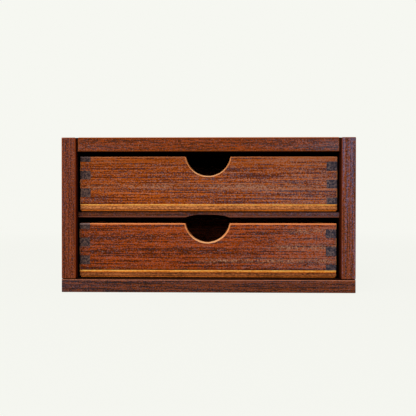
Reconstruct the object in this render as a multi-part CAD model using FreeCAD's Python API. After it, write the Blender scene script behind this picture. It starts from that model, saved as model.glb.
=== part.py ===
import FreeCAD, Part
import math
import os
from collections import namedtuple

from FreeCAD import Vector

# A tabletop box with two drawers, made of dark solid wood.
# All sizes are in millimetres. X runs across the box, Y from its front to its back, Z up.
# The origin lies under the middle of the box, on the surface that the box stands on.

# Boards of the case
CASE_WIDTH = 310.0
CASE_DEPTH = 240.0
SIDE_STOCK = 15.0
TOP_STOCK = 14.8
BOTTOM_STOCK = 14.4
DIVIDER_STOCK = 6.2
BACK_STOCK = 6.0
CASE_ARRIS = 1.2

# Joints between the boards of the case
QUIRK_WIDTH = 2.6
QUIRK_DEPTH = 4.0
TONGUE_STOCK = 5.0
TONGUE_REACH = 5.0
TONGUE_STOP = 12.0
LOOSE_TONGUE_REACH = 8.0
LOOSE_TONGUE_STOP = 20.0
HOUSING_REACH = 5.0
HOUSING_STOP = 8.0
REBATE_REACH = 7.5
JOINT_ROOM = 0.3

# Hollow under the divider, which makes room for fingers in the lower pull
DIVIDER_ARRIS = 0.8
HOLLOW_RADIUS = 24.3
HOLLOW_FLAT = 8.0
HOLLOW_DEPTH = 3.1

# Square cut pins that hold the thin panels
PIN_WIDTH = 1.6
PIN_POINT = 0.6
PIN_HEAD_WIDTH = 2.8
PIN_HEAD = 0.9
PIN_ROOM = 0.05
BACK_PIN_LENGTH = 18.0
BACK_PIN_INSET = 3.5
BACK_PIN_END = 20.0
BACK_PIN_SIDE_COUNT = 4
BACK_PIN_TOP_COUNT = 3
DRAWER_PIN_LENGTH = 20.0
DRAWER_PIN_END = 30.0
DRAWER_PIN_FRONT_COUNT = 3
DRAWER_PIN_SIDE_COUNT = 2

# Drawers
DRAWER_STOCK = 11.7
DRAWER_BASE_STOCK = 7.8
UPPER_FRAME_HEIGHT = 51.2
LOWER_FRAME_HEIGHT = 50.3
DRAWER_ARRIS = 1.5
INNER_BEVEL = 0.8
BASE_ARRIS = 0.6
BASE_CORNER = 2.8
FINGER_HEIGHT = 9.5
UPPER_TOP_FINGER = 5.7
LOWER_TOP_FINGER = 6.4
PULL_RADIUS = 24.0
PULL_LIP = 1.5
UPPER_PULL_DEPTH = 20.7
LOWER_PULL_DEPTH = 20.4

# Room that the drawers run in
DRAWER_SETBACK = 12.0
DIVIDER_SETBACK = 12.0
SIDE_GAP = 1.7
RUNNING_GAP = 0.3
LOWER_HEAD_GAP = 6.1
UPPER_HEAD_GAP = 4.5
STOP_GAP = 0.4
UPPER_DRAWER_SHIFT = -0.1
LOWER_DRAWER_SHIFT = -0.8

# A distance that only lets a cutter run clear of the wood, or tells faces apart
CLEAR = 5.0
TOUCH = 0.01

# Planes of the case
half_width = CASE_WIDTH / 2
inner_x = half_width - SIDE_STOCK
front_y = -CASE_DEPTH / 2
rear_y = CASE_DEPTH / 2
back_panel_y = rear_y - BACK_STOCK
divider_y = front_y + DIVIDER_SETBACK

# Heights, from the surface that the box stands on
lower_drawer_z = BOTTOM_STOCK + RUNNING_GAP
divider_z = lower_drawer_z + DRAWER_BASE_STOCK + LOWER_FRAME_HEIGHT + LOWER_HEAD_GAP
divider_top_z = divider_z + DIVIDER_STOCK
upper_drawer_z = divider_top_z + RUNNING_GAP
top_z = upper_drawer_z + DRAWER_BASE_STOCK + UPPER_FRAME_HEIGHT + UPPER_HEAD_GAP
case_z = top_z + TOP_STOCK
rebate_top_z = top_z + min(REBATE_REACH, TOP_STOCK / 2)
tongue_z = top_z + (TOP_STOCK - TONGUE_STOCK) / 2

# Faces of the drawers
drawer_y = front_y + DRAWER_SETBACK
drawer_rear_y = back_panel_y - STOP_GAP
drawer_half = inner_x - SIDE_GAP

# What differs between the drawers: the middle across, the underside, the frame and its cuts
Plan = namedtuple("Plan", "name middle_x floor_z frame_height pull_depth top_finger")
upper_plan = Plan(
    "upper_drawer", UPPER_DRAWER_SHIFT, upper_drawer_z,
    UPPER_FRAME_HEIGHT, UPPER_PULL_DEPTH, UPPER_TOP_FINGER,
)
lower_plan = Plan(
    "lower_drawer", LOWER_DRAWER_SHIFT, lower_drawer_z,
    LOWER_FRAME_HEIGHT, LOWER_PULL_DEPTH, LOWER_TOP_FINGER,
)


def block(low, high):
    """A square-edged block between its lowest and its highest corner."""
    sizes = [high[i] - low[i] for i in range(3)]
    return Part.makeBox(*sizes, Vector(*low))


def ease(shape, radius, chosen):
    """Round the edges whose bounding box passes a test."""
    edges = [edge for edge in shape.Edges if chosen(edge.BoundBox)]
    return shape.makeFillet(radius, edges)


def lies_at(box, axis, value):
    """Whether a bounding box is flat along an axis, 0 for X to 2 for Z, at a value."""
    low, high = ((box.XMin, box.XMax), (box.YMin, box.YMax), (box.ZMin, box.ZMax))[axis]
    return abs(low - value) < TOUCH and abs(high - value) < TOUCH


def planed_block(low, high, radius, axis):
    """A block with the four edges that run along one axis rounded."""

    def runs_along(box):
        return (box.XLength, box.YLength, box.ZLength)[axis] > TOUCH

    return ease(block(low, high), radius, runs_along)


def eased_block(low, high, radius):
    """A board with all its edges rounded, as a plane does it, one direction after another."""
    board = planed_block(low, high, radius, 0)
    for axis in (2, 1):
        board = board.common(planed_block(low, high, radius, axis))
    return board


def spread(low, high, count):
    """Evenly spaced places from one value to another."""
    if count == 1:
        return [(low + high) / 2]
    return [low + (high - low) * i / (count - 1) for i in range(count)]


def pin(place, direction, length, room=0.0):
    """A square tapered pin, its head flush at a place and its point along a direction, or its hole."""
    head = PIN_HEAD_WIDTH / 2 + room
    neck = PIN_WIDTH / 2 + room
    point = PIN_POINT / 2 + room
    shank = Part.makeWedge(-neck, PIN_HEAD, -neck, -point, -point, neck, length, neck, point, point)
    shape = block((-head, 0, -head), (head, PIN_HEAD, head)).fuse(shank)
    shape.Placement = FreeCAD.Placement(place, FreeCAD.Rotation(Vector(0, 1, 0), direction))
    return shape


# Places of the pins

def back_pin_places():
    """Heads of the pins round the back panel: up both sides and along the top."""
    x = inner_x + BACK_PIN_INSET
    rows = spread(BOTTOM_STOCK + BACK_PIN_END, top_z - BACK_PIN_END, BACK_PIN_SIDE_COUNT)
    places = [Vector(side * x, rear_y, z) for side in (-1, 1) for z in rows]
    columns = spread(-inner_x + BACK_PIN_END, inner_x - BACK_PIN_END, BACK_PIN_TOP_COUNT)
    places += [Vector(x, rear_y, top_z + BACK_PIN_INSET) for x in columns]
    return places


def drawer_pin_places(plan):
    """Heads of the pins under a drawer, each up into the middle of a board."""
    inset = DRAWER_STOCK / 2
    reach = drawer_half - DRAWER_PIN_END
    columns = spread(-reach, reach, DRAWER_PIN_FRONT_COUNT)
    rows = spread(drawer_y + DRAWER_PIN_END, drawer_rear_y - DRAWER_PIN_END, DRAWER_PIN_SIDE_COUNT)
    spots = [(x, y) for x in columns for y in (drawer_y + inset, drawer_rear_y - inset)]
    spots += [(side * (drawer_half - inset), y) for side in (-1, 1) for y in rows]
    return [Vector(plan.middle_x + x, y, plan.floor_z) for x, y in spots]


back_pin_holes = [pin(place, Vector(0, -1, 0), BACK_PIN_LENGTH, PIN_ROOM) for place in back_pin_places()]


# Boards of the case

def loose_tongue(side, room=0.0):
    """The strip between a side, -1 for left and 1 for right, and the bottom panel, or its grooves."""
    middle = side * (half_width - SIDE_STOCK / 2)
    reach = LOOSE_TONGUE_REACH + room
    return block(
        (middle - TONGUE_STOCK / 2, front_y + LOOSE_TONGUE_STOP - room, BOTTOM_STOCK - reach),
        (middle + TONGUE_STOCK / 2, rear_y - LOOSE_TONGUE_STOP + room, BOTTOM_STOCK + reach),
    )


def right_side():
    """A side board with the grooves, the housing and the rebate that hold its neighbours.

    Its upper inner edge is left square where it meets the top panel.
    """
    board = eased_block((inner_x, front_y, BOTTOM_STOCK), (half_width, rear_y, case_z), CASE_ARRIS)
    square_edge = block(
        (inner_x, front_y + QUIRK_DEPTH, case_z - CASE_ARRIS),
        (inner_x + CASE_ARRIS, rear_y - CASE_ARRIS, case_z),
    )
    board = board.fuse(square_edge).removeSplitter()
    groove = block(
        (inner_x - CLEAR, front_y + TONGUE_STOP, tongue_z),
        (inner_x + TONGUE_REACH + JOINT_ROOM, back_panel_y, tongue_z + TONGUE_STOCK),
    )
    housing = block(
        (inner_x - CLEAR, divider_y + HOUSING_STOP, divider_z),
        (inner_x + HOUSING_REACH + JOINT_ROOM, back_panel_y, divider_top_z),
    )
    rebate = block(
        (inner_x - CLEAR, back_panel_y, BOTTOM_STOCK - CLEAR),
        (inner_x + REBATE_REACH, rear_y + CLEAR, rebate_top_z),
    )
    return board.cut([groove, housing, rebate, loose_tongue(1, JOINT_ROOM)] + back_pin_holes)


def left_side():
    """The right side board's mirror image."""
    return right_side().mirror(Vector(0, 0, 0), Vector(1, 0, 0))


def top_panel():
    """The board between the sides, with a tongue into each and a quirk down each front corner."""
    reach = inner_x - QUIRK_WIDTH
    nose = eased_block((-reach, front_y, top_z), (reach, rear_y, case_z), CASE_ARRIS)
    board = planed_block((-inner_x, front_y, top_z), (inner_x, rear_y, case_z), CASE_ARRIS, 0)
    board = board.cut(block(
        (-inner_x - CLEAR, front_y - CLEAR, top_z - CLEAR),
        (inner_x + CLEAR, front_y + QUIRK_DEPTH, case_z + CLEAR),
    ))
    tongue_end = inner_x + TONGUE_REACH
    tongue = block(
        (-tongue_end, front_y + TONGUE_STOP, tongue_z),
        (tongue_end, back_panel_y, tongue_z + TONGUE_STOCK),
    )
    rebate = block(
        (-half_width, back_panel_y, top_z - CLEAR),
        (half_width, rear_y + CLEAR, rebate_top_z),
    )
    return board.fuse([nose, tongue]).removeSplitter().cut([rebate] + back_pin_holes)


def bottom_panel():
    """The board that the sides stand on."""
    board = eased_block((-half_width, front_y, 0), (half_width, rear_y, BOTTOM_STOCK), CASE_ARRIS)
    return board.cut([loose_tongue(side, JOINT_ROOM) for side in (-1, 1)])


def back_panel():
    """The thin sheet in the rebates, standing on the bottom panel."""
    reach = inner_x + REBATE_REACH - JOINT_ROOM
    panel = block((-reach, back_panel_y, BOTTOM_STOCK), (reach, rear_y, rebate_top_z - JOINT_ROOM))
    return panel.cut(back_pin_holes)


def finger_hollow():
    """The shallow dish cut up into the divider, turned about an upright axis at its front edge."""
    run = HOLLOW_RADIUS - HOLLOW_FLAT
    curve = (run ** 2 + HOLLOW_DEPTH ** 2) / (2 * HOLLOW_DEPTH)
    middle = math.asin(run / curve) / 2
    roof_z = divider_z + HOLLOW_DEPTH
    half_way = Vector(HOLLOW_FLAT + curve * math.sin(middle), 0, roof_z - curve * (1 - math.cos(middle)))
    flat_end = Vector(HOLLOW_FLAT, 0, roof_z)
    rim = Vector(HOLLOW_RADIUS, 0, divider_z)
    axis_roof = Vector(0, 0, roof_z)
    axis_foot = Vector(0, 0, divider_z - CLEAR)
    rim_foot = Vector(HOLLOW_RADIUS, 0, divider_z - CLEAR)
    outline = Part.Wire([
        Part.makeLine(axis_foot, axis_roof),
        Part.makeLine(axis_roof, flat_end),
        Part.Arc(flat_end, half_way, rim).toShape(),
        Part.makeLine(rim, rim_foot),
        Part.makeLine(rim_foot, axis_foot),
    ])
    dish = Part.Face(outline).revolve(Vector(0, 0, 0), Vector(0, 0, 1), 360)
    dish.translate(Vector(LOWER_DRAWER_SHIFT, divider_y, 0))
    return dish


def divider():
    """The thin board between the drawers, housed in the sides behind its front edge."""
    board = block((-inner_x, divider_y, divider_z), (inner_x, back_panel_y, divider_top_z))
    board = ease(board, DIVIDER_ARRIS, lambda box: box.YMax < divider_y + TOUCH and box.ZLength < TOUCH)
    reach = inner_x + HOUSING_REACH
    housed = block((-reach, divider_y + HOUSING_STOP, divider_z), (reach, back_panel_y, divider_top_z))
    return board.fuse(housed).removeSplitter().cut(finger_hollow())


# Drawers

def pull_cutter(middle_x, top, depth):
    """The half-round pull with its two rounded lips, as a solid that runs through the front board."""
    centre_z = top + PULL_RADIUS - depth
    lip_z = top - PULL_LIP
    lip_x = math.sqrt((PULL_RADIUS + PULL_LIP) ** 2 - (centre_z - lip_z) ** 2)
    steep = math.atan2(lip_z - centre_z, lip_x)
    bend = (steep + math.pi / 2) / 2

    def spot(side, x, z):
        return Vector(middle_x + side * x, drawer_y - CLEAR, z)

    def on_lip(side, angle):
        return spot(side, lip_x - PULL_LIP * math.cos(angle), lip_z + PULL_LIP * math.sin(angle))

    def on_bowl(side):
        return spot(side, PULL_RADIUS * math.cos(steep), centre_z + PULL_RADIUS * math.sin(steep))

    edges = [Part.Arc(on_bowl(-1), spot(0, 0, top - depth), on_bowl(1)).toShape()]
    for side in (-1, 1):
        lip = Part.Arc(on_bowl(side), on_lip(side, bend - steep), spot(side, lip_x, top))
        edges.append(lip.toShape())
        edges.append(Part.makeLine(spot(side, lip_x, top), spot(side, lip_x, top + CLEAR)))
    edges.append(Part.makeLine(spot(-1, lip_x, top + CLEAR), spot(1, lip_x, top + CLEAR)))
    outline = Part.Wire(Part.sortEdges(edges)[0])
    return Part.Face(outline).extrude(Vector(0, DRAWER_STOCK + 2 * CLEAR, 0))


def drawer_frame(plan):
    """The four boards of a drawer in one, with the pull cut and the edges rounded."""
    low_z = plan.floor_z + DRAWER_BASE_STOCK
    top = low_z + plan.frame_height
    left = plan.middle_x - drawer_half
    right = plan.middle_x + drawer_half
    inner_left = left + DRAWER_STOCK
    inner_right = right - DRAWER_STOCK
    inner_front = drawer_y + DRAWER_STOCK
    inner_rear = drawer_rear_y - DRAWER_STOCK
    outer = block((left, drawer_y, low_z), (right, drawer_rear_y, top))
    inner = block((inner_left, inner_front, low_z - CLEAR), (inner_right, inner_rear, top + CLEAR))
    frame = outer.cut([inner, pull_cutter(plan.middle_x, top, plan.pull_depth)])

    def above_pull(box):
        return box.ZMin > top - plan.pull_depth - TOUCH

    def on_outer_rim(box):
        return above_pull(box) and (lies_at(box, 1, drawer_y) or lies_at(box, 1, drawer_rear_y))

    def on_inner_rim(box):
        across = lies_at(box, 1, inner_front) or lies_at(box, 1, inner_rear)
        along = lies_at(box, 0, inner_left) or lies_at(box, 0, inner_right)
        return above_pull(box) and (across or along)

    rim = min(DRAWER_ARRIS, PULL_LIP)
    frame = ease(frame, rim, on_outer_rim)
    frame = frame.makeChamfer(INNER_BEVEL, [edge for edge in frame.Edges if on_inner_rim(edge.BoundBox)])
    for axis in (1, 2):
        below = (left, drawer_y, low_z - CLEAR)
        frame = frame.common(planed_block(below, (right, drawer_rear_y, top), rim, axis))
    return frame


def finger_bands(plan):
    """Heights of the box joint's fingers, from the top down, with a part finger at each end."""
    low_z = plan.floor_z + DRAWER_BASE_STOCK
    first = low_z + plan.frame_height - plan.top_finger
    whole = max(1, math.ceil((first - low_z) / FINGER_HEIGHT) - 1)
    levels = [first + plan.top_finger]
    levels += [first - FINGER_HEIGHT * i for i in range(whole + 1)]
    levels.append(low_z)
    return [(levels[i + 1], levels[i]) for i in range(len(levels) - 1)]


def board_room(plan, board):
    """The space that one board of a drawer's frame takes, fingers and all.

    At each corner the fingers belong in turn to the side board and to the front or back board.
    The left corners start with the side board's finger, the right corners with the other's.
    """
    low_z = plan.floor_z + DRAWER_BASE_STOCK
    top = low_z + plan.frame_height
    left = plan.middle_x - drawer_half
    right = plan.middle_x + drawer_half
    x_planes = {-1: (left - CLEAR, left + DRAWER_STOCK), 1: (right - DRAWER_STOCK, right + CLEAR)}
    y_planes = {
        "front": (drawer_y - CLEAR, drawer_y + DRAWER_STOCK),
        "back": (drawer_rear_y - DRAWER_STOCK, drawer_rear_y + CLEAR),
    }
    if board in y_planes:
        y_low, y_high = y_planes[board]
        body = block((x_planes[-1][1], y_low, low_z), (x_planes[1][0], y_high, top))
        corners = [(side, y_planes[board]) for side in (-1, 1)]
    else:
        side = -1 if board == "left_side" else 1
        x_low, x_high = x_planes[side]
        body = block((x_low, y_planes["front"][1], low_z), (x_high, y_planes["back"][0], top))
        corners = [(side, planes) for planes in y_planes.values()]
    fingers = []
    for side, (y_low, y_high) in corners:
        x_low, x_high = x_planes[side]
        for order, (z_low, z_high) in enumerate(finger_bands(plan)):
            side_boards_turn = (order % 2 == 0) == (side == -1)
            if side_boards_turn != (board in y_planes):
                fingers.append(block((x_low, y_low, z_low), (x_high, y_high, z_high)))
    return body.fuse(fingers).removeSplitter()


def drawer_base(plan):
    """The plywood sheet under the frame, with its long bottom corners rounded."""
    left = plan.middle_x - drawer_half
    right = plan.middle_x + drawer_half
    floor_z = plan.floor_z
    top = floor_z + DRAWER_BASE_STOCK
    sheet = eased_block((left, drawer_y, floor_z), (right, drawer_rear_y, top), BASE_ARRIS)
    hull = block((left, drawer_y, floor_z), (right, drawer_rear_y, top + CLEAR))
    hull = ease(hull, BASE_CORNER, lambda box: lies_at(box, 2, floor_z) and box.YLength > TOUCH)
    return sheet.common(hull)


def drawer(plan):
    """All the pieces of one drawer, by node name."""
    places = drawer_pin_places(plan)
    up = Vector(0, 0, 1)
    holes = [pin(place, up, DRAWER_PIN_LENGTH, PIN_ROOM) for place in places]
    frame = drawer_frame(plan)
    pieces = {}
    for board in ("front", "back", "left_side", "right_side"):
        pieces[plan.name + "_" + board] = frame.common(board_room(plan, board)).cut(holes)
    pieces[plan.name + "_base"] = drawer_base(plan).cut(holes)
    pins = [pin(place, up, DRAWER_PIN_LENGTH) for place in places]
    pieces[plan.name + "_base_pins"] = Part.makeCompound(pins)
    return pieces


def case():
    """All the pieces of the case, by node name."""
    back_pins = [pin(place, Vector(0, -1, 0), BACK_PIN_LENGTH) for place in back_pin_places()]
    return {
        "left_side": left_side(),
        "right_side": right_side(),
        "top_panel": top_panel(),
        "bottom_panel": bottom_panel(),
        "divider": divider(),
        "back_panel": back_panel(),
        "left_loose_tongue": loose_tongue(-1),
        "right_loose_tongue": loose_tongue(1),
        "back_panel_pins": Part.makeCompound(back_pins),
    }


def single(shape):
    """The one solid in a shape that a cut wrapped up, or the shape itself when it holds several."""
    return shape.Solids[0] if len(shape.Solids) == 1 else shape


nodes = case()
nodes.update(drawer(upper_plan))
nodes.update(drawer(lower_plan))

os.makedirs("parts", exist_ok=True)
for name, shape in nodes.items():
    shape = single(shape)
    print(name, "solids", len(shape.Solids), "valid", shape.isValid(), "volume", round(shape.Volume))
    shape.exportStep("parts/" + name + ".step")
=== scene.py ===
import math
from collections import namedtuple

import bpy
from mathutils import Matrix, Vector


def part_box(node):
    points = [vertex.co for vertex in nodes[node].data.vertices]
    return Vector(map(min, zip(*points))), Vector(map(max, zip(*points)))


# The looks of a small wooden box with two drawers: oiled boards, plywood drawer bases, plain studio light.
# Lengths are in metres, and colours are written as they show on a screen, from 0 to 255.

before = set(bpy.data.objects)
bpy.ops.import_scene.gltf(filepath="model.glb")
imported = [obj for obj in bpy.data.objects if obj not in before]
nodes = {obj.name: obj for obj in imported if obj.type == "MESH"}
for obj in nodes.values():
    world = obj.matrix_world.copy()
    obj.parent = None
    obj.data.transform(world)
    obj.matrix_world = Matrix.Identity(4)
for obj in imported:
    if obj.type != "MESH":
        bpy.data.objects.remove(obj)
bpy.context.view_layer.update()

# Camera: where the box is seen from
CAMERA_PLACE = Vector((0.01081, -0.68787, 0.09404))
CAMERA_YAW = -0.019
CAMERA_PITCH = 0.0084
CAMERA_ROLL = 0.0007
CAMERA_LENS = 46.74
SENSOR_WIDTH = 36.0

# Stage and light
PAPER = (246, 247, 241)
PAPER_GLOW = 0.94
FLOOR_SIZE = 12.0
FLOOR_NEAR = 0.3
FLOOR_FAR = 1.4
ROOM_LIGHT = 0.32
FRONT_LAMP_PLACE = Vector((-0.5, -1.7, 0.5))
FRONT_LAMP_SIZE = (0.8, 0.6)
FRONT_LAMP_POWER = 9.5
TOP_LAMP_PLACE = Vector((-0.35, -0.75, 1.35))
TOP_LAMP_SIZE = (1.3, 0.6)
TOP_LAMP_POWER = 8.8
LAMP_TARGET = Vector((0.0, -0.1, 0.08))

# The axes that a board's grain can run along
X, Y, Z = 0, 1, 2

# Layers of noise in a board, as grains per metre along the grain and across it
TONE_SCALES = ((5, 75), (14, 1250), (130, 1250), (650, 1000))
HUE_SCALES = ((4, 60), (14, 500), (600, 850))

# Broad bands on the faces that don't look to the front, and how much of the cool hue, partly a painted cool sheen,
# they keep
FIGURE_SCALE = (3, 30)
FIGURE_WEIGHT = 2.2
SIDE_HUE = 0.6


def linear(colour):
    """A screen colour as the shaders take it."""
    def channel(value):
        share = value / 255
        return share / 12.92 if share <= 0.04045 else ((share + 0.055) / 1.055) ** 2.4
    return tuple(channel(value) for value in colour) + (1.0,)


class Paint:
    """A material under construction, with short ways to add nodes and join them."""

    def __init__(self, name):
        self.material = bpy.data.materials.new(name)
        self.material.use_nodes = True
        self.nodes = self.material.node_tree.nodes
        self.links = self.material.node_tree.links
        self.nodes.clear()
        self.surface = self.nodes.new("ShaderNodeTexCoord")

    def feed(self, socket, value):
        if isinstance(value, bpy.types.NodeSocket):
            self.links.new(value, socket)
        else:
            socket.default_value = value

    def node(self, kind, inputs, **settings):
        made = self.nodes.new(kind)
        for key, value in settings.items():
            setattr(made, key, value)
        for key, value in inputs.items():
            self.feed(made.inputs[key], value)
        return made

    def math(self, operation, *values):
        return self.node("ShaderNodeMath", dict(enumerate(values)), operation=operation).outputs[0]

    def vector(self, operation, first, second):
        made = self.node("ShaderNodeVectorMath", {0: first, 1: second}, operation=operation)
        return made.outputs[0]

    def fade(self, value, start, end, low=0.0, high=1.0):
        """A smooth step from low to high as the value goes from start to end."""
        made = self.node(
            "ShaderNodeMapRange",
            {0: value, 1: start, 2: end, 3: low, 4: high},
            interpolation_type="SMOOTHSTEP",
        )
        return made.outputs[0]

    def clamp(self, value):
        return self.node("ShaderNodeClamp", {0: value}).outputs[0]

    def blend(self, amount, base, top):
        made = self.node("ShaderNodeMix", {0: amount, 6: base, 7: top}, data_type="RGBA")
        return made.outputs[2]

    def ramp(self, value, stops):
        """Colours along a value, given as (place, screen colour) pairs."""
        made = self.node("ShaderNodeValToRGB", {0: value})
        points = made.color_ramp.elements
        while len(points) < len(stops):
            points.new(0.5)
        for point, (place, colour) in zip(points, stops):
            point.position = place
            point.color = linear(colour)
        return made.outputs[0]

    def noise(self, place, stretch, detail=2.0, roughness=0.5, warp=0.0):
        """Noise whose grains are 1 / stretch metres long along each axis."""
        scaled = self.vector("MULTIPLY", place, stretch)
        made = self.node(
            "ShaderNodeTexNoise",
            {"Vector": scaled, "Scale": 1.0, "Detail": detail, "Roughness": roughness, "Distortion": warp},
        )
        return made.outputs[0]

    def parts(self, vector):
        return self.node("ShaderNodeSeparateXYZ", {0: vector}).outputs

    def finish(self, colour, roughness, height, depth, gloss):
        """Joins everything to one surface shader and hands the material over."""
        bump = self.node("ShaderNodeBump", {"Height": height, "Strength": 1.0, "Distance": depth})
        body = self.node(
            "ShaderNodeBsdfPrincipled",
            {
                "Base Color": colour,
                "Roughness": roughness,
                "Normal": bump.outputs[0],
                "Specular IOR Level": gloss,
            },
        )
        out = self.nodes.new("ShaderNodeOutputMaterial")
        self.links.new(body.outputs[0], out.inputs[0])
        return self.material


def stretched(grain, along, across):
    """A stretch for noise: few grains along one axis and many across it."""
    return tuple(along if axis == grain else across for axis in (X, Y, Z))


# The look of a board: five tones from its darkest streaks to its palest, its tone and its hue, and the
# weights of its layers of noise. A tone of 0.5 is the middle one and a hue runs from 0, warm, to 1, cool.
# Each has three numbers: its value in the middle of the board, its slope along the grain per metre, and
# how it curves to both ends per square metre. The hue's slopes along the boards and the right side's
# cooler hue, which make the box cooler to the right, are a painted cool sheen; the noise in the hue is
# the wood's own.
Look = namedtuple("Look", "tones tone hue tone_weights hue_weights")
LEFT_LOOK = Look(
    ((70, 35, 27), (92, 45, 33), (107, 53, 37), (122, 61, 42), (143, 73, 48)),
    (0.42, 0.8, 0.0), (0.38, 0.4, 0.0), (0.2, 2.4, 1.3, 2.8), (0.2, 0.5, 1.8),
)
RIGHT_LOOK = Look(
    ((70, 43, 46), (90, 53, 51), (105, 60, 56), (120, 67, 60), (142, 78, 66)),
    (0.46, -0.2, 15.0), (0.5, 2.9, -22.0), (0.3, 3.2, 1.4, 3.4), (0.3, 2.8, 2.8),
)
TOP_LOOK = Look(
    ((78, 43, 32), (97, 49, 32), (112, 54, 32), (127, 60, 33), (146, 70, 36)),
    (0.59, -0.6, -14.0), (0.24, 1.6, 16.0), (0.4, 2.0, 3.6, 3.6), (0.7, 0.7, 2.2),
)
BOTTOM_LOOK = Look(
    ((50, 34, 34), (70, 42, 36), (86, 48, 37), (103, 55, 39), (122, 64, 42)),
    (0.5, 1.3, 0.0), (0.42, 0.0, 2.5), (0.35, 3.8, 3.1, 3.4), (0.2, 0.5, 1.8),
)
DIVIDER_LOOK = Look(
    ((62, 38, 34), (78, 44, 38), (89, 49, 40), (100, 55, 44), (114, 64, 50)),
    (0.53, 1.5, 0.0), (0.4, 1.5, 5.0), (0.4, 2.4, 1.9, 3.0), (0.2, 0.3, 1.4),
)
UPPER_LOOK = Look(
    ((88, 43, 30), (112, 54, 31), (132, 64, 33), (152, 75, 36), (178, 91, 42)),
    (0.5, 0.0, 0.0), (0.42, 2.1, 9.0), (0.3, 4.0, 1.9, 3.4), (0.5, 1.4, 3.0),
)
LOWER_LOOK = Look(
    ((76, 39, 28), (100, 46, 28), (119, 55, 29), (138, 64, 31), (164, 76, 36)),
    (0.58, 0.95, 0.0), (0.36, 1.6, 11.0), (0.3, 3.6, 2.6, 3.6), (0.3, 0.6, 2.6),
)
END_TONES = ((54, 40, 40), (70, 52, 51), (81, 61, 58), (92, 68, 64), (110, 82, 72))
CASE_END_TONES = ((56, 26, 14), (72, 36, 22), (86, 44, 28), (98, 54, 34), (116, 68, 44))
RAMP_PLACES = (0.1, 0.35, 0.5, 0.65, 0.9)

# The warm and cool casts of the hue; the cool one also carries the painted cool sheen
WARM_CAST = (0, -8, -28)
COOL_CAST = (0, 24, 46)
SPECK_TONE = (190, 150, 124)
WORN_TONE = (170, 122, 96)
SCRATCH_TONE = (188, 136, 104)
RIM_HIGHLIGHT_TONE = (255, 184, 126)

# Painted shade: how the faces that look into the case darken with their depth
INSIDE_DEPTHS = (0.001, 0.006, 0.01, 0.014)
LEFT_INSIDE = ((112, 34, 6), (66, 26, 14), (20, 7, 4), (6, 3, 2))
RIGHT_INSIDE = ((88, 38, 20), (62, 22, 5), (56, 18, 4), (8, 4, 2))
TOP_INSIDE = ((80, 32, 12), (16, 6, 3), (10, 4, 2), (5, 2, 2))
BOTTOM_INSIDE = ((48, 22, 12), (26, 12, 7), (18, 8, 4), (10, 5, 3))


def cast(tones, change):
    """Tones with one change to all of them."""
    return [tuple(max(1, value + step) for value, step in zip(tone, change)) for tone in tones]


def drift(paint, along, middle, slope, curve):
    """A value that changes along a board."""
    bent = paint.math("MULTIPLY_ADD", along, curve, slope)
    return paint.math("MULTIPLY_ADD", along, bent, middle)


def mixed(paint, place, grain, scales, weights, total=0.5):
    """Layers of stretched noise with one weight each, added to a value."""
    for (along, across), weight in zip(scales, weights):
        layer = paint.noise(place, stretched(grain, along, across), 1.0, 0.5)
        total = paint.math("ADD", total, paint.math("MULTIPLY_ADD", layer, weight, -weight / 2))
    return total


def grained(paint, value, hue, tones):
    """The colour of wood at a value of its tone and of its hue, which runs from warm to cool."""
    warm = paint.ramp(value, tuple(zip(RAMP_PLACES, cast(tones, WARM_CAST))))
    cool = paint.ramp(value, tuple(zip(RAMP_PLACES, cast(tones, COOL_CAST))))
    return paint.blend(paint.math("POWER", paint.clamp(hue), 2.0), warm, cool)


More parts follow.
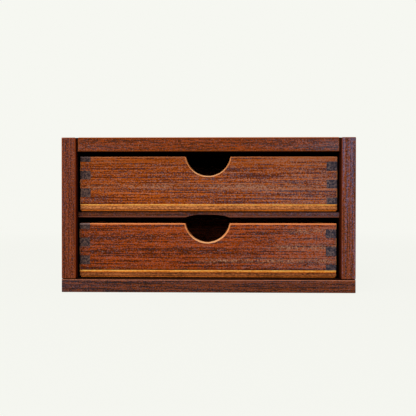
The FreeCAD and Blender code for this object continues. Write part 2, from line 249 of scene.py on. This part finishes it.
def wood(
    node, grain, look, arris, shift, sides=0.4,
    inside=None, lines=(), shades=(), worn=None, rim=None, crowns=(), hem=None, end_tones=END_TONES,
):
    """Oiled solid wood with its grain along one axis, end grain across it and pale arrises, palest where they face
    up: partly worn wood, partly painted highlight.

    sides is how pale the upright arrises are. inside is the axis and the sign of the faces that look
    into the case, how far back the front face lies, and their tones: painted shade that darkens with
    depth. lines are thin chipped lines along the front, each with its lower and upper edge and its tone,
    and shades are the same without chips, used for painted shade in joints and gaps.
    worn is the tone of rubbed spots, how much of a band they leave free, and the bands: the height and
    the reach of each, where along the board it starts and is full, and its strength. rim is the middle
    of a round cut-out in X and Z and the radii between which its pale rim shows, partly worn wood and
    partly painted highlight, with a brighter painted highlight on its lowest part. crowns are steps of
    tone, each with the two heights it lies between and the change of tone at each of them. hem is how
    far a painted shade reaches in from the left end of the front.
    """
    paint = Paint(node + "_wood")
    low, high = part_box(node)
    here = paint.surface.outputs["Object"]
    spot = paint.parts(here)
    place = paint.vector("ADD", here, (shift, shift * 1.7, shift * 2.3))
    looking = paint.parts(paint.surface.outputs["Normal"])
    facing = [paint.math("ABSOLUTE", part) for part in looking]
    along = paint.math("SUBTRACT", spot[grain], (low[grain] + high[grain]) / 2)

    aside = paint.fade(facing[Y], 0.9, 0.6)
    figure = paint.noise(place, stretched(grain, *FIGURE_SCALE), 2.0, 0.55, 0.4)
    figure = paint.math("MULTIPLY_ADD", figure, FIGURE_WEIGHT, -FIGURE_WEIGHT / 2)
    tone = mixed(paint, place, grain, TONE_SCALES, look.tone_weights, drift(paint, along, *look.tone))
    tone = paint.math("ADD", tone, paint.math("MULTIPLY", figure, aside))
    for crown in crowns:
        tone = paint.math("ADD", tone, paint.fade(spot[Z], *crown))
    hue = mixed(paint, place, grain, HUE_SCALES, look.hue_weights, drift(paint, along, *look.hue))
    hue = paint.math("MULTIPLY", hue, paint.fade(facing[Y], 0.6, 0.9, SIDE_HUE, 1.0))
    colour = grained(paint, tone, hue, look.tones)

    speckle = paint.noise(place, (700, 700, 700), 1.0, 0.6)
    if worn:
        worn_tone, free, bands = worn
        patch = paint.fade(paint.noise(place, stretched(grain, 22, 90), 2.0, 0.6), 0.3, 0.6)
        spots = paint.math("MULTIPLY", paint.fade(speckle, free, free + 0.3), patch)
        for height, reach, start, full, amount in bands:
            away = paint.math("ABSOLUTE", paint.math("SUBTRACT", spot[Z], height))
            band = paint.math("MULTIPLY", paint.fade(away, reach, 0.0), paint.fade(along, start, full, 0.0, amount))
            colour = paint.blend(paint.math("MULTIPLY", spots, band), colour, linear(worn_tone))
    colour = paint.blend(paint.fade(speckle, 0.68, 0.8, 0.0, 0.5), colour, linear(SPECK_TONE))

    rings = mixed(paint, place, grain, ((20, 420), (500, 700)), (2.0, 2.5))
    end_hue = paint.math("MULTIPLY_ADD", spot[X], END_COOLING, END_HUE)
    end = paint.fade(facing[grain], 0.35, 0.6) if grain == Y else paint.fade(facing[grain], 0.75, 0.95)
    colour = paint.blend(end, colour, grained(paint, rings, end_hue, end_tones))

    # Pale arrises, fullest where they face up: partly worn wood, partly painted highlight
    squarest = paint.math("MAXIMUM", paint.math("MAXIMUM", facing[X], facing[Y]), facing[Z])
    edge = paint.math("MULTIPLY", paint.fade(squarest, 0.99, 0.86), paint.fade(looking[Z], -0.1, 0.45, sides, 1.0))
    edge = paint.math("MULTIPLY", edge, paint.math("SUBTRACT", 1.0, end))
    arris_colour = linear(arris)
    if rim:
        centre_x, centre_z, inner, outer = rim
        aside = paint.math("POWER", paint.math("SUBTRACT", spot[X], centre_x), 2.0)
        up = paint.math("POWER", paint.math("SUBTRACT", spot[Z], centre_z), 2.0)
        far = paint.math("SQRT", paint.math("ADD", aside, up))
        ring = paint.math("MULTIPLY", paint.fade(far, outer, inner), paint.fade(squarest, 1.0, 0.98))
        ring = paint.math("MULTIPLY", ring, paint.fade(spot[Y], low.y + 0.009, low.y + 0.004))
        edge = paint.math("MAXIMUM", edge, ring)
        # A brighter painted highlight on the lowest part of the rim, which faces up
        sunk = paint.fade(spot[Z], centre_z - 0.6 * inner, centre_z - 0.85 * inner)
        lowest = paint.math("MULTIPLY", ring, sunk)
        arris_colour = paint.blend(lowest, arris_colour, linear(RIM_HIGHLIGHT_TONE))
    chips = paint.fade(paint.noise(place, stretched(grain, 120, 300), 2.0, 0.6), 0.25, 0.6, 0.7, 1.0)
    colour = paint.blend(paint.math("MULTIPLY", edge, chips), colour, arris_colour)

    # Thin lines along the front: painted highlights, painted shade and other edges
    ahead = paint.fade(looking[Y], -0.1, -0.4)
    whole = [(line, 1.0) for line in shades]
    for (bottom, top, line_tone), cover in [(line, chips) for line in lines] + whole:
        above = paint.fade(spot[Z], bottom - LINE_BLUR, bottom + LINE_BLUR)
        below = paint.fade(spot[Z], top + LINE_BLUR, top - LINE_BLUR)
        shown = paint.math("MULTIPLY", ahead, paint.math("MULTIPLY", above, below))
        colour = paint.blend(paint.math("MULTIPLY", shown, cover), colour, linear(line_tone))

    # Painted shade along the left end of the front
    if hem:
        outer = paint.fade(spot[X], low.x + hem + LINE_BLUR, low.x + hem - LINE_BLUR)
        colour = paint.blend(paint.math("MULTIPLY", ahead, outer), colour, linear(JOINT_SHADE))

    # Painted shade on the faces inside the case, darker with depth
    if inside:
        axis, sign, front, depth_tones = inside
        depth = paint.math("SUBTRACT", spot[Y], front)
        dark = paint.ramp(paint.math("MULTIPLY", depth, 10.0), [
            (10.0 * place, depth_tone) for place, depth_tone in zip(INSIDE_DEPTHS, depth_tones)
        ])
        inward = paint.fade(looking[axis], 0.6 * sign, 0.9 * sign)
        behind = paint.math("MULTIPLY", paint.fade(looking[Y], -0.6, -0.9), paint.fade(depth, 0.001, 0.002))
        colour = paint.blend(paint.math("MAXIMUM", inward, behind), colour, dark)

    roughness = paint.math("MULTIPLY_ADD", tone, -0.15, 0.6)
    return paint.finish(colour, roughness, tone, 0.0001, 0.03)


# End grain turns cooler to the right, a painted cool sheen like the boards' hue
END_HUE = 0.6
END_COOLING = 0.7
LINE_BLUR = 0.0002

# The edge of plywood: how softly its layers meet, and how its front corners fade into painted shade
LAYER_BLUR = 0.015
CORNER_SHADE = (16, 7, 4)
CORNER_REACH = 0.0007
CORNER_ROUND = 0.0014
CORNER_HEIGHT = 0.0022

# Layers of noise on the faces of plywood
FACE_SCALES = ((3, 28), (9, 160), (14, 500), (200, 900))
FACE_WEIGHTS = (0.9, 0.8, 1.2, 1.6)


def plywood(node, layers, mottling, face_tones, shift):
    """Three-ply sheet whose edge shows its layers, with the grain of its faces along X.

    Each layer has the share of the thickness where it starts, and two tones, which a mottle mixes.
    mottling is how much of the mottle is blotches, specks and streaks.
    """
    paint = Paint(node + "_ply")
    low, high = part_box(node)
    here = paint.surface.outputs["Object"]
    spot = paint.parts(here)
    place = paint.vector("ADD", here, (shift, shift * 1.7, shift * 2.3))
    looking = paint.parts(paint.surface.outputs["Normal"])
    through = min((X, Y, Z), key=lambda axis: high[axis] - low[axis])
    share = paint.node("ShaderNodeMapRange", {0: spot[through], 1: low[through], 2: high[through]}).outputs[0]

    mottle = 0.5
    for stretch, weight in zip(((24, 24, 120), (420, 420, 1000), (70, 70, 900)), mottling):
        layer = paint.noise(place, stretch, 2.0, 0.6)
        mottle = paint.math("ADD", mottle, paint.math("MULTIPLY_ADD", layer, weight, -weight / 2))
    starts = [start for start, dark, pale in layers]
    ends = starts[1:] + [1.0]
    dark_stops = []
    pale_stops = []
    for (start, dark, pale), end in zip(layers, ends):
        for stop in (start + LAYER_BLUR, end - LAYER_BLUR):
            dark_stops.append((stop, dark))
            pale_stops.append((stop, pale))
    colour = paint.blend(paint.clamp(mottle), paint.ramp(share, dark_stops), paint.ramp(share, pale_stops))

    near = paint.math("MINIMUM", paint.math("SUBTRACT", spot[X], low.x), paint.math("SUBTRACT", high.x, spot[X]))
    limit = paint.fade(spot[Z], low.z + CORNER_HEIGHT, low.z, CORNER_REACH, CORNER_REACH + CORNER_ROUND)
    past = paint.fade(paint.math("SUBTRACT", near, limit), LINE_BLUR, -LINE_BLUR)
    corner = paint.math("MULTIPLY", past, paint.fade(looking[Y], -0.1, -0.4))
    colour = paint.blend(corner, colour, linear(CORNER_SHADE))

    tone = mixed(paint, place, X, FACE_SCALES, FACE_WEIGHTS)
    face = paint.ramp(tone, tuple(zip(RAMP_PLACES, face_tones)))
    colour = paint.blend(paint.fade(paint.math("ABSOLUTE", looking[through]), 0.6, 0.9), colour, face)
    # Painted shade on the rounded arrises that face down
    below = paint.math("MULTIPLY", paint.fade(looking[Z], -0.6, -0.9), paint.fade(looking[Z], -0.99, -0.97))
    colour = paint.blend(below, colour, linear(CORNER_SHADE))
    roughness = paint.math("MULTIPLY_ADD", tone, -0.15, 0.6)
    return paint.finish(colour, roughness, mottle, 0.0001, 0.05)


def bare_wood(name, grain, tones, shift):
    """Pale wood that was never oiled, for the hidden tongues."""
    paint = Paint(name)
    place = paint.vector("ADD", paint.surface.outputs["Object"], (shift, shift, shift))
    tone = mixed(paint, place, grain, TONE_SCALES, (0.4, 2.6, 1.6, 4.5))
    colour = paint.ramp(tone, tuple(zip(RAMP_PLACES, tones)))
    return paint.finish(colour, 0.7, tone, 0.0001, 0.2)


def steel(name):
    """Plain steel of small pins, dulled by the oil."""
    paint = Paint(name)
    scratches = paint.noise(paint.surface.outputs["Object"], (900, 300, 900), 3.0, 0.6)
    colour = paint.ramp(scratches, ((0.3, (92, 84, 78)), (0.7, (150, 142, 134))))
    roughness = paint.math("MULTIPLY_ADD", scratches, 0.3, 0.25)
    material = paint.finish(colour, roughness, scratches, 0.00005, 0.5)
    body = next(node for node in paint.nodes if node.type == "BSDF_PRINCIPLED")
    body.inputs["Metallic"].default_value = 1.0
    return material


def dress(node, material):
    """Gives a node one material all over."""
    slots = nodes[node].data.materials
    slots.clear()
    slots.append(material)


# Arris tones: the pale ones are partly paler where hands and planes took the oil off and partly painted highlight
# from light above; the divider's dark one is painted shade
LEFT_ARRIS_TONE = (164, 80, 34)
RIGHT_ARRIS_TONE = (142, 66, 38)
TOP_ARRIS_TONE = (200, 108, 36)
BOTTOM_ARRIS_TONE = (150, 92, 70)
DIVIDER_ARRIS_SHADE = (24, 12, 8)
DRAWER_ARRIS_TONE = (240, 152, 92)

# Thin lines along the front: painted shade in the joints and gaps, painted highlights, partly on worn wood, along the
# upper edges, and other pale or dark edges
JOINT_SHADE = (6, 2, 1)
TOP_LINE_TONE = (118, 48, 14)
BOTTOM_HIGHLIGHT_TONE = (224, 144, 112)
DIVIDER_LINE_TONE = (122, 68, 52)
DRAWER_LINE_TONE = (250, 146, 86)
FINGER_LINE_TONE = (150, 124, 118)
FOOT_SHADE = (70, 28, 16)

PALE_TONES = ((150, 112, 76), (172, 132, 92), (186, 148, 106), (198, 162, 120), (212, 178, 138))
FACE_TONES = ((128, 70, 32), (152, 88, 42), (170, 104, 52), (186, 118, 62), (206, 138, 78))
BACK_TONES = ((104, 56, 30), (126, 70, 38), (144, 84, 46), (158, 96, 54), (178, 112, 66))

front_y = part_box("bottom_panel")[0].y
for side, look, arris, shift, sign, depth_tones in (
    ("left_side", LEFT_LOOK, LEFT_ARRIS_TONE, 0.31, 1, LEFT_INSIDE),
    ("right_side", RIGHT_LOOK, RIGHT_ARRIS_TONE, 0.83, -1, RIGHT_INSIDE),
):
    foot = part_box(side)[0].z
    dress(side, wood(
        side, Z, look, arris, shift, sides=0.8, inside=(X, sign, front_y, depth_tones), end_tones=CASE_END_TONES,
        shades=((foot - 0.001, foot + 0.0004, JOINT_SHADE),),
    ))
top_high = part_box("top_panel")[1].z
dress("top_panel", wood(
    "top_panel", X, TOP_LOOK, TOP_ARRIS_TONE, 1.27, inside=(Z, -1, front_y, TOP_INSIDE),
    lines=((top_high - 0.0018, top_high - 0.0006, TOP_LINE_TONE),),
))
bottom_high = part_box("bottom_panel")[1].z
dress("bottom_panel", wood(
    "bottom_panel", X, BOTTOM_LOOK, BOTTOM_ARRIS_TONE, 1.91, sides=0.1, inside=(Z, 1, front_y, BOTTOM_INSIDE),
    end_tones=CASE_END_TONES,
    lines=((bottom_high - 0.0014, bottom_high - 0.0009, BOTTOM_HIGHLIGHT_TONE),),
    shades=((bottom_high - 0.0009, bottom_high + 0.001, JOINT_SHADE),),
))
divider_low, divider_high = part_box("divider")
dress("divider", wood(
    "divider", X, DIVIDER_LOOK, DIVIDER_ARRIS_SHADE, 2.43, inside=(Z, -1, divider_low.y, TOP_INSIDE),
    lines=((divider_low.z + 0.0004, divider_low.z + 0.0014, DIVIDER_LINE_TONE),),
    shades=((divider_high.z - 0.0007, divider_high.z + 0.001, JOINT_SHADE),),
))

PULL_RADIUS = 0.024
RIM_REACH = 0.0021
DRAWER_HEM = 0.0005

# What differs between the two drawers. Heights in the bands are shares of the front's height.
Drawer = namedtuple("Drawer", "look shift pull_depth line_reach foot_reach worn_tone free bands crowns")
UPPER_DRAWER = Drawer(
    UPPER_LOOK, 3.1, 0.0207, 0.0009, 0.0, WORN_TONE, 0.4,
    ((0.36, 0.006, -0.2, -0.19, 0.95),),
    ((0.0195, 0.0145, -0.18, 0.06), (0.0145, 0.004, 0.0, 0.45), (0.0205, 0.0235, 0.0, 0.1)),
)
LOWER_DRAWER = Drawer(
    LOWER_LOOK, 4.7, 0.0204, 0.0014, 0.0006, SCRATCH_TONE, 0.4,
    ((0.2, 0.0034, -0.03, 0.01, 0.85), (0.48, 0.0045, 0.06, 0.09, 0.8), (0.84, 0.004, 0.07, 0.1, 0.7)),
    (),
)
for drawer, plan in (("upper_drawer", UPPER_DRAWER), ("lower_drawer", LOWER_DRAWER)):
    low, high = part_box(drawer + "_front")
    pull_z = high.z - plan.pull_depth + PULL_RADIUS
    bands = [(low.z + (high.z - low.z) * share, *rest) for share, *rest in plan.bands]
    dress(drawer + "_front", wood(
        drawer + "_front", X, plan.look, DRAWER_ARRIS_TONE, plan.shift, sides=0.75,
        lines=((high.z - plan.line_reach, high.z + 0.001, DRAWER_LINE_TONE),),
        shades=((low.z - 0.001, low.z + plan.foot_reach, FOOT_SHADE),),
        worn=(plan.worn_tone, plan.free, bands),
        rim=((low.x + high.x) / 2, pull_z, PULL_RADIUS + RIM_REACH * 0.6, PULL_RADIUS + RIM_REACH),
        crowns=[(high.z - first, high.z - second, *change) for first, second, *change in plan.crowns],
        hem=DRAWER_HEM,
    ))
    for count, (board, grain) in enumerate((("back", X), ("left_side", Y), ("right_side", Y))):
        node = drawer + "_" + board
        dress(node, wood(
            node, grain, plan.look, DRAWER_ARRIS_TONE, plan.shift + 0.37 * (count + 1),
            lines=((high.z - plan.line_reach, high.z + 0.001, FINGER_LINE_TONE),),
            hem=DRAWER_HEM if board == "left_side" else None,
        ))

dress("upper_drawer_base", plywood(
    "upper_drawer_base",
    (
        # The lowest layer is painted shade in the gap below the sheet
        (0.0, (26, 12, 4), (40, 19, 7)),
        (0.06, (140, 68, 10), (206, 106, 24)),
        (0.19, (96, 46, 14), (164, 84, 32)),
        (0.33, (114, 62, 34), (216, 136, 76)),
        (0.73, (130, 64, 22), (204, 114, 50)),
        (0.85, (236, 140, 50), (255, 196, 98)),
    ),
    (0.8, 3.4, 1.8), FACE_TONES, 5.3,
))
dress("lower_drawer_base", plywood(
    "lower_drawer_base",
    (
        (0.0, (176, 88, 20), (240, 128, 46)),
        (0.12, (100, 54, 22), (160, 84, 42)),
        (0.25, (112, 62, 30), (200, 116, 58)),
        (0.385, (86, 48, 26), (180, 104, 56)),
        (0.52, (92, 42, 18), (166, 82, 40)),
        (0.68, (192, 102, 26), (248, 146, 50)),
        (0.83, (250, 156, 60), (255, 200, 104)),
        # The highest layer is painted shade along the sheet's top edge
        (0.975, (84, 34, 14), (120, 54, 28)),
    ),
    (2.0, 3.4, 1.6), FACE_TONES, 6.9,
))
dress("back_panel", plywood(
    "back_panel",
    ((0.0, (84, 46, 26), (120, 68, 38)), (0.5, (104, 58, 32), (140, 84, 50))),
    (1.0, 1.0, 1.0), BACK_TONES, 7.7,
))
for count, side in enumerate(("left", "right")):
    dress(side + "_loose_tongue", bare_wood(side + "_tongue_wood", Y, PALE_TONES, 8.3 + count))
pin_steel = steel("pin_steel")
for node in ("back_panel_pins", "upper_drawer_base_pins", "lower_drawer_base_pins"):
    dress(node, pin_steel)


def add_floor():
    """A large pale floor that hardly shows, apart from the box's soft shadow."""
    half = FLOOR_SIZE / 2
    mesh = bpy.data.meshes.new("floor")
    mesh.from_pydata([(-half, -half, 0), (half, -half, 0), (half, half, 0), (-half, half, 0)], [], [(0, 1, 2, 3)])
    floor = bpy.data.objects.new("floor", mesh)
    bpy.context.scene.collection.objects.link(floor)
    paint = Paint("floor_paper")
    matt = paint.node("ShaderNodeBsdfDiffuse", {"Color": linear(PAPER)})
    glow = paint.node("ShaderNodeEmission", {"Color": linear(PAPER), "Strength": 1.0})
    ray = paint.nodes.new("ShaderNodeLightPath").outputs
    seen = paint.math("MAXIMUM", ray["Is Camera Ray"], paint.math("MAXIMUM", ray["Is Glossy Ray"], ray["Is Transmission Ray"]))
    spot = paint.parts(paint.surface.outputs["Object"])
    away = paint.math("SQRT", paint.math("ADD", paint.math("POWER", spot[X], 2.0), paint.math("POWER", spot[Y], 2.0)))
    share = paint.math("MULTIPLY", seen, paint.fade(away, FLOOR_NEAR, FLOOR_FAR, PAPER_GLOW, 1.0))
    mixed = paint.node("ShaderNodeMixShader", {0: share, 1: matt.outputs[0], 2: glow.outputs[0]})
    out = paint.nodes.new("ShaderNodeOutputMaterial")
    paint.links.new(mixed.outputs[0], out.inputs[0])
    mesh.materials.append(paint.material)


def add_room():
    """An even pale room: its light on the box is plain, and what is seen of it is the backdrop."""
    world = bpy.data.worlds.new("room")
    bpy.context.scene.world = world
    world.use_nodes = True
    tree = world.node_tree
    tree.nodes.clear()
    ray = tree.nodes.new("ShaderNodeLightPath").outputs
    seen = ray["Is Camera Ray"]
    for name in ("Is Glossy Ray", "Is Transmission Ray"):
        either = tree.nodes.new("ShaderNodeMath")
        either.operation = "MAXIMUM"
        tree.links.new(seen, either.inputs[0])
        tree.links.new(ray[name], either.inputs[1])
        seen = either.outputs[0]
    light = tree.nodes.new("ShaderNodeBackground")
    light.inputs["Color"].default_value = (1.0, 1.0, 1.0, 1.0)
    light.inputs["Strength"].default_value = ROOM_LIGHT
    backdrop = tree.nodes.new("ShaderNodeBackground")
    backdrop.inputs["Color"].default_value = linear(PAPER)
    backdrop.inputs["Strength"].default_value = 1.0
    mixed = tree.nodes.new("ShaderNodeMixShader")
    tree.links.new(seen, mixed.inputs[0])
    tree.links.new(light.outputs[0], mixed.inputs[1])
    tree.links.new(backdrop.outputs[0], mixed.inputs[2])
    out = tree.nodes.new("ShaderNodeOutputWorld")
    tree.links.new(mixed.outputs[0], out.inputs[0])


def add_lamp(name, place, size, power, colour):
    """A soft rectangular lamp that looks at the box."""
    data = bpy.data.lights.new(name, "AREA")
    data.shape = "RECTANGLE"
    data.size, data.size_y = size
    data.energy = power
    data.color = linear(colour)[:3]
    lamp = bpy.data.objects.new(name, data)
    lamp.location = place
    lamp.rotation_euler = (LAMP_TARGET - place).to_track_quat("-Z", "Y").to_euler()
    bpy.context.scene.collection.objects.link(lamp)


def add_camera():
    """The camera, built from its place, its three angles and its lens."""
    data = bpy.data.cameras.new("camera")
    data.sensor_width = SENSOR_WIDTH
    data.lens = CAMERA_LENS
    ahead = Vector((
        math.sin(CAMERA_YAW) * math.cos(CAMERA_PITCH),
        math.cos(CAMERA_YAW) * math.cos(CAMERA_PITCH),
        -math.sin(CAMERA_PITCH),
    ))
    level = Vector((math.cos(CAMERA_YAW), -math.sin(CAMERA_YAW), 0.0))
    right = Matrix.Rotation(-CAMERA_ROLL, 3, ahead) @ level
    up = right.cross(ahead)
    camera = bpy.data.objects.new("camera", data)
    turn = Matrix((right, up, -ahead)).transposed()
    camera.matrix_world = Matrix.Translation(CAMERA_PLACE) @ turn.to_4x4()
    bpy.context.scene.collection.objects.link(camera)
    bpy.context.scene.camera = camera


add_floor()
add_room()
add_lamp("front_lamp", FRONT_LAMP_PLACE, FRONT_LAMP_SIZE, FRONT_LAMP_POWER, (255, 255, 255))
add_lamp("top_lamp", TOP_LAMP_PLACE, TOP_LAMP_SIZE, TOP_LAMP_POWER, (255, 252, 246))
add_camera()
bpy.context.scene.view_settings.view_transform = "Standard"
